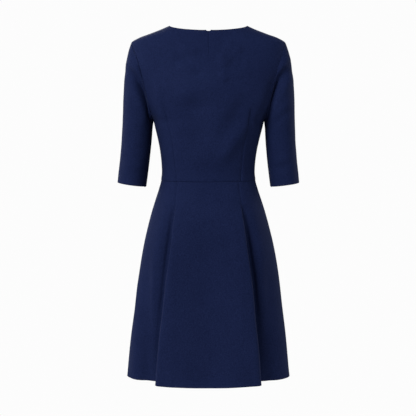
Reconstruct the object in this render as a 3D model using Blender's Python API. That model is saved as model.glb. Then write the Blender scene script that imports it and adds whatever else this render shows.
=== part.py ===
"""A knee-length a-line dress with elbow sleeves, filled out as it is worn, with nobody in it.

Metres, +Z up. The wearer faces -Y, so the back is on +Y and the left sleeve on +X. The origin is on
the centre line, in the plane of the side seams, at the height of the points where the shoulder
seams meet the neck edge. Each piece is a wall of cloth with an open rim, 0.3 mm from its neighbours.
"""

import math

import bmesh
import bpy
import numpy as np

# Driving sizes
CLOTH = 0.0016  # thickness of the cloth
SEAM_GAP = 0.0003  # clearance between two pieces that are sewn together
WAIST_Z = -0.392
HEM_Z = -0.902
NECK_HALF_WIDTH = 0.098
BACK_NECK_DROP = 0.0145
FRONT_NECK_DROP = 0.075
NECK_ROUNDNESS = 0.58  # under 1 the neckline is a round scoop, at 1 a parabola
SHOULDER_TIP_Z = -0.0425
UNDERARM_Z = -0.241

SLIT_HALF_WIDTH = 0.0005
SLIT_END_Z = -0.092
NOTCH_HALF_WIDTH = 0.0050  # the neck edge dips where the two ends of the zip tape meet
NOTCH_DEPTH = 0.0018
NOTCH_CORNER = 0.0006  # width of the small step at each end of the notch
ZIP_HALF_WIDTH = 0.0055
ZIP_THICKNESS = 0.0014
ZIP_BELOW_SLIT = 0.004

PLEAT_OPEN_Z = -0.449  # the pleats are stitched shut from the waist down to here
PLEAT_SPREAD = 0.8  # under 1 the pleats open fast below their stitching
SIDE_SETTLE = 1.3  # how soon the side panel comes back to the body's line past the pleat
BUST = {"x": 0.076, "z": -0.255, "out": 0.009, "wide": 0.050, "tall": 0.060}

# Columns of the grids, from the centre line to the side
NECK_COLUMNS, SHOULDER_COLUMNS, ARMHOLE_COLUMNS, BODICE_ROWS = 4, 3, 8, 10
CAP_ROWS, SLEEVE_ROWS = 5, 5
PANEL_COLUMNS, SKIRT_ROWS = 3, 9
ZIP_COLUMNS, ZIP_ROWS = 4, 8
BODICE_CROWDING, SKIRT_CROWDING = 1.25, 1.1  # over 1, rows draw together towards the top
NECK_SHARE, TIP_SHARE = 0.42, 0.62  # where along a bodice panel the neckline and the shoulder end

NAVY = (0.0100, 0.0155, 0.0520, 1.0)
ZIP_NAVY = (0.0060, 0.0090, 0.0300, 1.0)


def table(columns, *rows):
    """A table with named columns; its first column rises or falls row by row."""
    return dict(zip(columns.split(), np.array(rows, float).T))


BODY = table(
    "z       half_width back   front   squareness",
    (0.0000, 0.0980, 0.0560, 0.0460, 2.00),
    (-0.0100, 0.1210, 0.0590, 0.0490, 2.00),
    (-0.0200, 0.1480, 0.0625, 0.0530, 2.00),
    (-0.0300, 0.1755, 0.0660, 0.0575, 2.00),
    (-0.0425, 0.1955, 0.0705, 0.0630, 2.00),
    (-0.0600, 0.2010, 0.0765, 0.0700, 2.00),
    (-0.0934, 0.2040, 0.0875, 0.0820, 2.00),
    (-0.1435, 0.1958, 0.0990, 0.0980, 2.00),
    (-0.1934, 0.1810, 0.1045, 0.1120, 2.00),
    (-0.2200, 0.1600, 0.1045, 0.1165, 2.05),
    (-0.2410, 0.1410, 0.1030, 0.1185, 2.15),
    (-0.2580, 0.1368, 0.1015, 0.1185, 2.20),
    (-0.2888, 0.1295, 0.0965, 0.1140, 2.25),
    (-0.3195, 0.1235, 0.0910, 0.1050, 2.25),
    (-0.3503, 0.1197, 0.0865, 0.0960, 2.20),
    (-0.3700, 0.1187, 0.0850, 0.0915, 2.20),
    (-0.3920, 0.1204, 0.0855, 0.0890, 2.20),
    (-0.4119, 0.1256, 0.0890, 0.0905, 2.20),
    (-0.4429, 0.1360, 0.0960, 0.0955, 2.15),
    (-0.4738, 0.1461, 0.1020, 0.1005, 2.10),
    (-0.5049, 0.1548, 0.1070, 0.1050, 2.05),
    (-0.5515, 0.1658, 0.1125, 0.1105, 2.00),
    (-0.5983, 0.1743, 0.1160, 0.1150, 1.95),
    (-0.6608, 0.1839, 0.1200, 0.1195, 1.90),
    (-0.7236, 0.1918, 0.1230, 0.1230, 1.85),
    (-0.7867, 0.1996, 0.1260, 0.1260, 1.80),
    (-0.8499, 0.2062, 0.1285, 0.1290, 1.75),
    (-0.9020, 0.2118, 0.1300, 0.1310, 1.70),
)

ARMHOLE = table(
    "z       back    front",
    (-0.0425, 0.1955, 0.1955),
    (-0.0600, 0.1895, 0.1880),
    (-0.0934, 0.1770, 0.1725),
    (-0.1435, 0.1641, 0.1590),
    (-0.1934, 0.1518, 0.1490),
    (-0.2200, 0.1455, 0.1440),
    (-0.2410, 0.1410, 0.1410),
)

SLEEVE = table(
    "z       centre_x centre_y half_width half_depth tilt",
    (-0.2620, 0.1826, -0.0040, 0.0386, 0.0500, 4.0),
    (-0.2888, 0.1845, -0.0055, 0.0384, 0.0490, 4.5),
    (-0.3195, 0.1872, -0.0075, 0.0381, 0.0480, 5.0),
    (-0.3503, 0.1903, -0.0100, 0.0380, 0.0470, 6.0),
    (-0.3811, 0.1939, -0.0130, 0.0379, 0.0463, 7.0),
    (-0.4035, 0.1966, -0.0150, 0.0376, 0.0460, 8.0),
)

# The way the sleeve leaves the armhole, from the shoulder tip (0) to the underarm (1)
CAP_LEAVE = table(
    "share   out    back   down",
    (0.0, 0.34, 0.00, 0.80),
    (0.25, 0.42, 0.14, 0.80),
    (0.5, 0.48, 0.05, 0.85),
    (0.75, 0.42, -0.04, 0.90),
    (1.0, 0.16, 0.00, 0.98),
)
CAP_ARRIVE = (0.07, -0.03, -1.0)  # the way it runs where it reaches the full sleeve

# Where each pleat's fold edge runs, before the panel stands proud
PLEAT_LINE = table(
    "z       edge_x",
    (-0.3920, 0.0760),
    (-0.4490, 0.0836),
    (-0.5103, 0.0935),
    (-0.5772, 0.1020),
    (-0.6594, 0.1105),
    (-0.7466, 0.1163),
    (-0.8264, 0.1220),
    (-0.9020, 0.1270),
)

# The run of the cloth across one pleat, from the proud centre panel to the side panel: how far out
# from the fold line and how far proud, flat at the waist and open at the hem
PLEAT_FOLD = {
    "out_waist": (-30, -12, -6, -4, -2.6, -1.2, 0, 1.2, 2.6, 5, 10, 18, 32),
    "rise_waist": (0, 0, 0, -0.2, -0.6, -1.0, -1.2, -1.0, -0.6, -0.2, 0, 0, 0),
    "out_hem": (-32, -13, -4, 0, -2, -10, -18, -20, -16, -4, 14, 34, 56),
    "rise_hem": (11, 14.5, 16, 14.5, 11, 4, -5, -9, -11, -9.5, -8, -8.5, -7.5),
}
CENTRE_RISE_HEM = 0.0085
MM = 0.001


def along(columns, name, place):
    """A column's value at a place on the first column, on a smooth curve that never overshoots."""
    first = next(iter(columns.values()))
    sign = 1 if first[-1] > first[0] else -1
    places = sign * first
    values = columns[name]
    steps = np.diff(places)
    slopes = np.diff(values) / steps
    inner = np.where(slopes[1:] * slopes[:-1] > 0, 2 * slopes[1:] * slopes[:-1] / (
        slopes[1:] + slopes[:-1] + 1e-12), 0.0)
    tangents = np.concatenate([slopes[:1], inner, slopes[-1:]])
    place = min(max(sign * place, places[0]), places[-1])
    row = min(int(np.searchsorted(places, place, side="right")) - 1, len(steps) - 1)
    t = (place - places[row]) / steps[row]
    return (
        values[row] * (2 * t**3 - 3 * t**2 + 1)
        + values[row + 1] * (3 * t**2 - 2 * t**3)
        + tangents[row] * steps[row] * (t**3 - 2 * t**2 + t)
        + tangents[row + 1] * steps[row] * (t**3 - t**2)
    )


def body_point(x, z, side):
    """The point of the front or back surface over x at the height z."""
    squareness = along(BODY, "squareness", z)
    ratio = min(abs(x) / along(BODY, "half_width", z), 1.0)
    depth = along(BODY, side, z) * (1 - ratio**squareness) ** (1 / squareness)
    if side == "back":
        return (x, depth, z)
    across = (abs(x) - BUST["x"]) / BUST["wide"]
    up = (z - BUST["z"]) / BUST["tall"]
    fullness = BUST["out"] * math.exp(-(across**2) - up**2) * (1 - ratio**4)
    return (x, -depth - fullness, z)


def neck_z(x, side):
    drop = BACK_NECK_DROP if side == "back" else FRONT_NECK_DROP
    return -drop * (1 - min(abs(x) / NECK_HALF_WIDTH, 1.0) ** 2) ** NECK_ROUNDNESS


def panel_top(share, side):
    """The x and z of a bodice panel's upper edge: neckline, shoulder, then armhole to the underarm."""
    if share <= NECK_SHARE:
        x = NECK_HALF_WIDTH * math.sin(math.pi / 2 * share / NECK_SHARE)
        return x, neck_z(x, side)
    if share <= TIP_SHARE:
        z = SHOULDER_TIP_Z * (share - NECK_SHARE) / (TIP_SHARE - NECK_SHARE)
        return along(BODY, "half_width", z), z
    turn = math.pi * (share - TIP_SHARE) / (1 - TIP_SHARE)
    z = SHOULDER_TIP_Z + (UNDERARM_Z - SHOULDER_TIP_Z) * (1 - math.cos(turn)) / 2
    return along(ARMHOLE, side, z), z


def edge_share(z):
    """The share whose column meets the side, armhole or shoulder at the height z."""
    if z <= UNDERARM_Z:
        return 1.0
    if z >= SHOULDER_TIP_Z:
        return NECK_SHARE + (TIP_SHARE - NECK_SHARE) * z / SHOULDER_TIP_Z
    down = (z - SHOULDER_TIP_Z) / (UNDERARM_Z - SHOULDER_TIP_Z)
    return TIP_SHARE + (1 - TIP_SHARE) * math.acos(1 - 2 * down) / math.pi


def level_x(share, z, side):
    """Where the column of this share crosses the height z, before the neckline draws it in."""
    in_armhole = UNDERARM_Z < z < SHOULDER_TIP_Z
    edge = along(ARMHOLE, side, z) if in_armhole else along(BODY, "half_width", z)
    return edge * math.sin(math.pi / 2 * share) / math.sin(math.pi / 2 * edge_share(z))


def bodice_point(share, height, side):
    """share runs from 0 at the centre line to 1 at the side, height from 0 at the waist to 1 on top."""
    top_x, top_z = panel_top(share, side)
    z = WAIST_Z + (top_z - WAIST_Z) * height
    draw = (top_x - level_x(share, top_z, side)) * height**3
    return body_point(level_x(share, z, side) + draw, z, side)


def bodice_grid(side):
    shares = [NECK_SHARE * i / NECK_COLUMNS for i in range(NECK_COLUMNS)]
    shares += [
        NECK_SHARE + (TIP_SHARE - NECK_SHARE) * i / SHOULDER_COLUMNS for i in range(SHOULDER_COLUMNS)
    ]
    shares += [
        TIP_SHARE + (1 - TIP_SHARE) * i / ARMHOLE_COLUMNS for i in range(ARMHOLE_COLUMNS + 1)
    ]
    rows = []
    for i in range(BODICE_ROWS + 1):
        height = 1 - (1 - i / BODICE_ROWS) ** BODICE_CROWDING
        half = [bodice_point(share, height, side) for share in shares]
        rows.append([(-x, y, z) for x, y, z in reversed(half[1:])] + half)
    return np.array(rows)


def split_for_zip(grid):
    """Opens the middle column of the back into a slit, and dips the neck edge beside it."""
    middle = grid.shape[1] // 2
    heights = grid[:, middle, 2]
    start = int(np.argmin(abs(heights - SLIT_END_Z)))
    top = heights[-1] - NOTCH_DEPTH
    places = (-NOTCH_HALF_WIDTH - NOTCH_CORNER, -NOTCH_HALF_WIDTH, -SLIT_HALF_WIDTH)
    left = np.empty((len(heights), len(places), 3))
    for row in range(len(heights)):
        if row < start:
            slit_z = edge_z = WAIST_Z + (SLIT_END_Z - WAIST_Z) * row / start
        else:
            share = (row - start) / (len(heights) - 1 - start)
            slit_z = SLIT_END_Z + (top - SLIT_END_Z) * share
            edge_z = SLIT_END_Z + (heights[-1] - SLIT_END_Z) * share
        for i, (x, z) in enumerate(zip(places, (edge_z, slit_z, slit_z))):
            left[row, i] = body_point(x, z, "back")
    right = left[:, ::-1] * np.array([-1, 1, 1])
    wide = np.concatenate([grid[:, :middle], left, right, grid[:, middle + 1 :]], axis=1)
    closed = np.ones((wide.shape[0] - 1, wide.shape[1] - 1), bool)
    closed[start:, middle + 2] = False
    return wide, closed


def sleeve_ring(turn, z):
    width = along(SLEEVE, "half_width", z) * math.cos(turn)
    tilt = math.radians(along(SLEEVE, "tilt", z))
    return np.array([
        along(SLEEVE, "centre_x", z) + width * math.cos(tilt),
        along(SLEEVE, "centre_y", z) + along(SLEEVE, "half_depth", z) * math.sin(turn),
        z + width * math.sin(tilt),
    ])


def cap_point(turn, start, t):
    """A point of the sleeve cap, on the curve from the armhole to the sleeve's first full ring."""
    end = sleeve_ring(turn, SLEEVE["z"][0])
    reach = np.linalg.norm(end - start)
    place = abs(turn) / math.pi
    back = math.copysign(along(CAP_LEAVE, "back", place), turn)
    leave = np.array([along(CAP_LEAVE, "out", place), back, -along(CAP_LEAVE, "down", place)]) * reach
    arrive = np.array(CAP_ARRIVE) * reach
    return (
        start * (2 * t**3 - 3 * t**2 + 1)
        + end * (3 * t**2 - 2 * t**3)
        + leave * (t**3 - 2 * t**2 + t)
        + arrive * (t**3 - t**2)
    )


def sleeve_grid(sign):
    """Columns run round the arm from the shoulder tip, down the back to the underarm, and up the front."""
    columns = []
    for side, steps in (("back", range(ARMHOLE_COLUMNS + 1)), ("front", range(ARMHOLE_COLUMNS - 1, 0, -1))):
        for i in steps:
            share = TIP_SHARE + (1 - TIP_SHARE) * i / ARMHOLE_COLUMNS
            turn = math.pi * i / ARMHOLE_COLUMNS * (1 if side == "back" else -1)
            start = np.array(body_point(*panel_top(share, side), side))
            column = [cap_point(turn, start, k / CAP_ROWS) for k in range(CAP_ROWS)]
            for k in range(SLEEVE_ROWS + 1):
                z = SLEEVE["z"][0] + (SLEEVE["z"][-1] - SLEEVE["z"][0]) * k / SLEEVE_ROWS
                column.append(sleeve_ring(turn, z))
            columns.append(column)
    grid = np.array(columns).transpose(1, 0, 2)
    return grid * np.array([sign, 1, 1])


def skirt_row(z, side):
    """The right half of one level of the skirt, from the centre line to the side seam."""
    width = along(BODY, "half_width", z)
    depth = along(BODY, side, z)
    squareness = along(BODY, "squareness", z)
    opening = max(0.0, (PLEAT_OPEN_Z - z) / (PLEAT_OPEN_Z - HEM_Z)) ** PLEAT_SPREAD
    edge = math.asin((along(PLEAT_LINE, "edge_x", z) / width) ** (squareness / 2))
    reach = math.hypot(width * math.cos(edge), depth * math.sin(edge))

    def lerp(low, high):
        return low + (high - low) * opening

    fold = [
        (
            edge + lerp(PLEAT_FOLD["out_waist"][i], PLEAT_FOLD["out_hem"][i]) * MM / reach,
            lerp(PLEAT_FOLD["rise_waist"][i], PLEAT_FOLD["rise_hem"][i]) * MM,
        )
        for i in range(len(PLEAT_FOLD["out_waist"]))
    ]
    first, last = fold[0], fold[-1]
    middle = CENTRE_RISE_HEM * opening
    run = [
        (first[0] * i / PANEL_COLUMNS, middle + (first[1] - middle) * (i / PANEL_COLUMNS) ** 2)
        for i in range(PANEL_COLUMNS)
    ]
    run += fold
    run += [
        (
            last[0] + (math.pi / 2 - last[0]) * i / PANEL_COLUMNS,
            last[1] * (1 - i / PANEL_COLUMNS) ** SIDE_SETTLE,
        )
        for i in range(1, PANEL_COLUMNS + 1)
    ]
    sign = 1 if side == "back" else -1
    points = []
    for angle, rise in run:
        across, deep = math.sin(angle), max(math.cos(angle), 0.0)
        x = width * across ** (2 / squareness)
        y = depth * deep ** (2 / squareness)
        normal = np.array([across / width, deep / depth])
        normal /= np.linalg.norm(normal)
        points.append((x + normal[0] * rise, sign * (y + normal[1] * rise), z))
    return points


def skirt_grid(side):
    rows = []
    for i in range(SKIRT_ROWS + 1):
        half = skirt_row(WAIST_Z + (HEM_Z - WAIST_Z) * (i / SKIRT_ROWS) ** SKIRT_CROWDING, side)
        rows.append([(-x, y, z) for x, y, z in reversed(half[1:])] + half)
    return np.array(rows)


def outward_normals(grid, wrap):
    """The area-weighted normal of each point of a grid, not yet of unit length, facing out."""
    ahead = np.concatenate([grid, grid[:, :1]], axis=1) if wrap else grid
    a, b = ahead[:-1, :-1], ahead[:-1, 1:]
    c, d = ahead[1:, :-1], ahead[1:, 1:]
    faces = np.cross(d - a, c - b)
    sums = np.zeros_like(ahead)
    for rows in (slice(None, -1), slice(1, None)):
        for columns in (slice(None, -1), slice(1, None)):
            sums[rows, columns] += faces
    if wrap:
        sums[:, 0] += sums[:, -1]
        sums = sums[:, :-1]
    centre = grid.mean(axis=(0, 1))
    if not wrap:
        centre[:2] = 0
    facing = ((grid - centre) * sums)[..., :2].sum()
    return sums if facing > 0 else -sums


def shared_normals(grids):
    """Unit normals for every grid, averaged where two pieces meet at a seam."""
    sums = {}
    own = {}
    for name, (grid, wrap) in grids.items():
        own[name] = outward_normals(grid, wrap)
        for point, normal in zip(grid.reshape(-1, 3), own[name].reshape(-1, 3)):
            key = tuple(np.round(point, 5))
            sums[key] = sums.get(key, 0) + normal
    for name, (grid, _) in grids.items():
        points = grid.reshape(-1, 3)
        found = np.array([sums[tuple(np.round(point, 5))] for point in points]).reshape(grid.shape)
        own[name] = found
    return own


def level(normals, row):
    """Keeps a rim flat and level, so that it meets its neighbour face to face."""
    normals[row, :, 2] = 0


def pull_in(outer, inner, edges, wrap):
    """Moves the named edges half the seam gap back from the seam, square to it, within the wall."""
    moves = {
        "top": ((-1, slice(None)), (-2, slice(None))),
        "bottom": ((0, slice(None)), (1, slice(None))),
        "left": ((slice(None), 0), (slice(None), 1)),
        "right": ((slice(None), -1), (slice(None), -2)),
    }
    steps = []
    for edge in edges:
        at, beside = moves[edge]
        line = outer[at]
        if wrap:
            along_edge = np.roll(line, -1, axis=0) - np.roll(line, 1, axis=0)
        else:
            along_edge = np.gradient(line, axis=0)
        step = np.cross(along_edge, line - inner[at])
        step /= np.linalg.norm(step, axis=-1, keepdims=True)
        facing = ((outer[beside] - line) * step).sum(axis=-1, keepdims=True)
        steps.append((at, step * np.sign(facing) * SEAM_GAP / 2))
    for at, step in steps:
        outer[at] = outer[at] + step
        inner[at] = inner[at] + step


def shell_object(name, outer, inner, material, wrap=False, closed=None):
    """A closed wall between two grids of points, with a rim along every open edge."""
    rows, columns = outer.shape[:2]
    count = rows * columns
    across = columns if wrap else columns - 1
    if closed is None:
        closed = np.ones((rows - 1, across), bool)
    faces = []
    edge_use = {}
    for row in range(rows - 1):
        for column in range(across):
            if not closed[row, column]:
                continue
            beside = (column + 1) % columns
            quad = (
                row * columns + column,
                row * columns + beside,
                (row + 1) * columns + beside,
                (row + 1) * columns + column,
            )
            faces.append(quad)
            faces.append(tuple(count + index for index in reversed(quad)))
            for start, end in zip(quad, quad[1:] + quad[:1]):
                edge_use.setdefault(frozenset((start, end)), []).append((start, end))
    for uses in edge_use.values():
        if len(uses) == 1:
            start, end = uses[0]
            faces.append((end, start, count + start, count + end))
    mesh = bpy.data.meshes.new(name)
    points = np.concatenate([outer.reshape(-1, 3), inner.reshape(-1, 3)])
    mesh.from_pydata([tuple(point) for point in points], [], faces)
    work = bmesh.new()
    work.from_mesh(mesh)
    bmesh.ops.recalc_face_normals(work, faces=work.faces)
    work.to_mesh(mesh)
    work.free()
    mesh.shade_smooth()
    mesh.set_sharp_from_angle(angle=math.radians(50))
    mesh.materials.append(material)
    piece = bpy.data.objects.new(name, mesh)
    bpy.context.collection.objects.link(piece)
    return piece


def cloth_material(name, colour, roughness):
    material = bpy.data.materials.new(name)
    material.use_nodes = True
    shader = material.node_tree.nodes["Principled BSDF"]
    shader.inputs["Base Color"].default_value = colour
    shader.inputs["Roughness"].default_value = roughness
    shader.inputs["Metallic"].default_value = 0.0
    material.diffuse_color = colour
    return material


def zip_strip(material):
    """The closed zip: a strip behind the slit, made from the back panel's own surface, moved in."""
    top = -BACK_NECK_DROP - NOTCH_DEPTH
    columns = np.linspace(-ZIP_HALF_WIDTH, ZIP_HALF_WIDTH, ZIP_COLUMNS + 1)
    heights = np.linspace(top, SLIT_END_Z - ZIP_BELOW_SLIT, ZIP_ROWS + 1)
    behind = CLOTH + SEAM_GAP
    outer = []
    for z in heights:
        outer.append([np.array(body_point(x, z, "back")) - (0, behind, 0) for x in columns])
    outer = np.array(outer)
    inner = outer - np.array([0, ZIP_THICKNESS, 0])
    return shell_object("back_zip", outer, inner, material)


def build():
    for old in list(bpy.data.objects):
        bpy.data.objects.remove(old, do_unlink=True)

    back, closed = split_for_zip(bodice_grid("back"))
    grids = {
        "bodice_back": (back, False),
        "bodice_front": (bodice_grid("front"), False),
        "sleeve_left": (sleeve_grid(1), True),
        "sleeve_right": (sleeve_grid(-1), True),
        "skirt_back": (skirt_grid("back"), False),
        "skirt_front": (skirt_grid("front"), False),
    }
    seam_edges = {
        "bodice_back": ("left", "right", "top", "bottom"),
        "bodice_front": ("left", "right", "top", "bottom"),
        "sleeve_left": ("bottom",),
        "sleeve_right": ("bottom",),
        "skirt_back": ("left", "right", "bottom"),
        "skirt_front": ("left", "right", "bottom"),
    }
    level_rows = {
        "bodice_back": (0,),
        "bodice_front": (0,),
        "sleeve_left": (),
        "sleeve_right": (),
        "skirt_back": (0, -1),
        "skirt_front": (0, -1),
    }
    normals = shared_normals(grids)
    for name, (outer, wrap) in grids.items():
        for row in level_rows[name]:
            level(normals[name], row)
        unit = normals[name] / np.linalg.norm(normals[name], axis=-1, keepdims=True)
        inner = outer - unit * CLOTH
        pull_in(outer, inner, seam_edges[name], wrap)
        material = cloth_material("navy_" + name, NAVY, 0.85)
        shell_object(name, outer, inner, material, wrap, closed if name == "bodice_back" else None)
    zip_strip(cloth_material("navy_back_zip", ZIP_NAVY, 0.6))


build()
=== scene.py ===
import math

import bpy
import numpy as np
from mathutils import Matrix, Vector, noise


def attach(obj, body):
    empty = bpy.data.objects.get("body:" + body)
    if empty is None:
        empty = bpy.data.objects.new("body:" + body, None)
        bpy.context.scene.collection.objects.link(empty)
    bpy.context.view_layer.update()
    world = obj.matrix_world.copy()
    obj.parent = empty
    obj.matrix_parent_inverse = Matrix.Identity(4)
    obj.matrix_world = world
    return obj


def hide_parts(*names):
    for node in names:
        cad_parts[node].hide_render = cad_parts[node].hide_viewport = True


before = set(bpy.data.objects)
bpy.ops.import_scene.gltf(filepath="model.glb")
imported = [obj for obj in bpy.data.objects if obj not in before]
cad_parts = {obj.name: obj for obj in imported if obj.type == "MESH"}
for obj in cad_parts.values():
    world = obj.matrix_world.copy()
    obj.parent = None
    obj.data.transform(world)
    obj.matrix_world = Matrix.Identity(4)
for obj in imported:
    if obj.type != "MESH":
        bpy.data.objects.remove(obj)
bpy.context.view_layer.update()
scene = bpy.context.scene
mm = 0.001
print("frame loaded", list(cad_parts))


def table(columns, *rows):
    return dict(zip(columns.split(), np.array(rows, float).T))


def along(columns, name, place):
    # a column's value at each place on the first column, on a curve that never overshoots
    first = next(iter(columns.values()))
    sign = 1 if first[-1] > first[0] else -1
    places, values = sign * first, columns[name]
    steps = np.diff(places)
    slopes = np.diff(values) / steps
    product = slopes[1:] * slopes[:-1]
    inner = np.where(product > 0, 2 * product / (slopes[1:] + slopes[:-1] + 1e-12), 0.0)
    tangents = np.concatenate([slopes[:1], inner, slopes[-1:]])
    place = np.clip(sign * np.asarray(place, float), places[0], places[-1])
    row = np.clip(np.searchsorted(places, place, side="right") - 1, 0, len(steps) - 1)
    step = steps[row]
    t = (place - places[row]) / step
    return (
        values[row] * (2 * t**3 - 3 * t**2 + 1)
        + values[row + 1] * (3 * t**2 - 2 * t**3)
        + tangents[row] * step * (t**3 - 2 * t**2 + t)
        + tangents[row + 1] * step * (t**3 - t**2)
    )


def smooth(t):
    t = np.clip(t, 0.0, 1.0)
    return t * t * (3 - 2 * t)


dress = {
    "waist": -0.392,
    "hem": -0.902,
    "neckHalfWidth": 0.098,
    "backNeckDrop": 0.0145,
    "frontNeckDrop": 0.075,
    "neckRoundness": 0.58,
    "shoulderTip": -0.0425,
    "underarm": -0.241,
    "pleatOpen": -0.449,
    "cloth": 0.9 * mm,
    "fold": 1.0 * mm,  # outside radius of a turned edge
}

body = table(
    "z       halfWidth back   front   squareness",
    (0.0000, 0.0980, 0.0560, 0.0460, 2.00),
    (-0.0100, 0.1210, 0.0590, 0.0490, 2.00),
    (-0.0200, 0.1480, 0.0625, 0.0530, 2.00),
    (-0.0300, 0.1755, 0.0660, 0.0575, 2.00),
    (-0.0425, 0.1955, 0.0705, 0.0630, 2.00),
    (-0.0600, 0.2010, 0.0765, 0.0700, 2.00),
    (-0.0934, 0.2040, 0.0875, 0.0820, 2.00),
    (-0.1435, 0.1958, 0.0990, 0.0980, 2.00),
    (-0.1934, 0.1810, 0.1045, 0.1120, 2.00),
    (-0.2200, 0.1600, 0.1045, 0.1165, 2.05),
    (-0.2410, 0.1410, 0.1030, 0.1185, 2.15),
    (-0.2580, 0.1368, 0.1015, 0.1185, 2.20),
    (-0.2888, 0.1295, 0.0965, 0.1140, 2.25),
    (-0.3195, 0.1235, 0.0910, 0.1050, 2.25),
    (-0.3503, 0.1197, 0.0865, 0.0960, 2.20),
    (-0.3700, 0.1187, 0.0850, 0.0915, 2.20),
    (-0.3920, 0.1204, 0.0855, 0.0890, 2.20),
    (-0.4119, 0.1256, 0.0890, 0.0905, 2.20),
    (-0.4429, 0.1360, 0.0960, 0.0955, 2.15),
    (-0.4738, 0.1461, 0.1020, 0.1005, 2.10),
    (-0.5049, 0.1548, 0.1070, 0.1050, 2.05),
    (-0.5515, 0.1658, 0.1125, 0.1105, 2.00),
    (-0.5983, 0.1743, 0.1160, 0.1150, 1.95),
    (-0.6608, 0.1839, 0.1200, 0.1195, 1.90),
    (-0.7236, 0.1918, 0.1230, 0.1230, 1.85),
    (-0.7867, 0.1996, 0.1260, 0.1260, 1.80),
    (-0.8499, 0.2062, 0.1285, 0.1290, 1.75),
    (-0.9020, 0.2118, 0.1300, 0.1310, 1.70),
)

armhole = table(
    "z       back    front",
    (-0.0425, 0.1955, 0.1955),
    (-0.0600, 0.1895, 0.1880),
    (-0.0934, 0.1770, 0.1725),
    (-0.1435, 0.1641, 0.1590),
    (-0.1934, 0.1518, 0.1490),
    (-0.2200, 0.1455, 0.1440),
    (-0.2410, 0.1410, 0.1410),
)

bust = {"x": 0.076, "z": -0.255, "out": 0.009, "wide": 0.050, "tall": 0.060}

# the dip along the lower armhole, in mm: how far it spreads on each side of the seam
armholeValley = {
    "from": -0.090,
    "reach": 0.100,
    "shut": -0.275,
    "deep": 10,
    "wideSleeve": 14,
    "wideBodice": 13,
    "sideways": 0.04,
}


def sinkArmhole(grid):
    # the cloth dips towards the lower armhole, the same on both sides of the seam
    x, y, z = grid[..., 0], grid[..., 1], grid[..., 2]
    line = np.where(y > 0, along(armhole, "back", z), along(armhole, "front", z))
    off = (np.abs(x) - line) / mm
    wide = np.where(off > 0, armholeValley["wideSleeve"], armholeValley["wideBodice"])
    deep = armholeValley["deep"] * mm * smooth((armholeValley["from"] - z) / armholeValley["reach"])
    deep = deep * smooth((z - armholeValley["shut"]) / 0.030)
    frontOrBack = np.clip(y / armholeValley["sideways"], -1, 1)  # nothing at the side seam
    sunk = grid.copy()
    sunk[..., 1] -= frontOrBack * deep * np.exp(-((off / wide) ** 2))
    return sunk


def bodyPoint(x, z, side):
    squareness = along(body, "squareness", z)
    ratio = np.clip(np.abs(x) / along(body, "halfWidth", z), 0, 1)
    depth = along(body, side, z) * (1 - ratio**squareness) ** (1 / squareness)
    if side == "back":
        return np.stack([x, depth, z], axis=-1)
    across = (np.abs(x) - bust["x"]) / bust["wide"]
    up = (z - bust["z"]) / bust["tall"]
    depth = depth + bust["out"] * np.exp(-(across**2) - up**2) * (1 - ratio**4)
    return np.stack([x, -depth, z], axis=-1)


def resample(grid, marks):
    # every column of the grid walked at the same marks, measured along the cloth
    steps = np.linalg.norm(np.diff(grid, axis=0), axis=-1)
    walked = np.concatenate([np.zeros((1, grid.shape[1])), np.cumsum(steps, axis=0)])
    columns = []
    for j in range(grid.shape[1]):
        places = marks(walked[-1, j], j)
        columns.append([np.interp(places, walked[:, j], grid[:, j, k]) for k in range(3)])
    return np.array(columns).transpose(2, 0, 1)


def evenMarks(length, count, startFine=(), endFine=()):
    # distances from 0 to length: fine steps at the ends, the same step between
    start = [0.0] + [f * mm for f in startFine]
    end = [length - f * mm for f in reversed(endFine)] + [length]
    between = np.linspace(start[-1], end[0], count + 1)[1:-1]
    return np.concatenate([start, between, end])


def gridNormals(grid):
    across = np.gradient(grid, axis=1)
    up = np.gradient(grid, axis=0)
    normals = np.cross(across, up)
    length = np.linalg.norm(normals, axis=-1, keepdims=True)
    return normals / np.maximum(length, 1e-9)


def facingOut(grid, centre):
    normals = gridNormals(grid)
    if ((grid - centre)[..., :2] * normals[..., :2]).sum() < 0:
        normals = -normals
    return normals


turns = {
    "top": (lambda g: g, lambda g: g),
    "bottom": (lambda g: g[::-1], lambda g: g[::-1]),
    "right": (lambda g: g.transpose(1, 0, 2), lambda g: g.transpose(1, 0, 2)),
    "left": (lambda g: g[:, ::-1].transpose(1, 0, 2), lambda g: g.transpose(1, 0, 2)[:, ::-1]),
}


def edgeFrame(grid, normals, edge):
    # the outward normal and the way into the panel, at each point of an edge
    turn = turns[edge][0]
    line, normal = turn(grid)[-1], turn(normals)[-1]
    inside = turn(grid)[-3]
    tangent = np.gradient(line, axis=0)
    inward = np.cross(tangent, normal)
    inward /= np.maximum(np.linalg.norm(inward, axis=-1, keepdims=True), 1e-9)
    facing = ((inside - line) * inward).sum(axis=-1).sum()
    for _ in range(6):  # eased, so that the turned cloth doesn't cross itself at a corner
        inward[1:-1] = (inward[:-2] + 2 * inward[1:-1] + inward[2:]) / 4
    inward /= np.maximum(np.linalg.norm(inward, axis=-1, keepdims=True), 1e-9)
    return normal, inward * np.sign(facing)


def foldProfile(radius, width):
    # (in from the edge, deep) round the fold; with no width it is a seam's plain wall
    last = 8 if width else 4
    profile = [
        (radius * (1 - math.sin(math.pi * i / 8)), radius * (1 - math.cos(math.pi * i / 8)))
        for i in range(1, last + 1)
    ]
    if not width:
        return profile + [(0.0, 2.2 * radius)]
    count = max(2, int(width / (4 * mm)))
    for i in range(1, count + 1):
        s = radius + (width - radius) * i / count
        profile.append((s, 2 * radius + 5 * s * s))
    return profile


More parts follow.
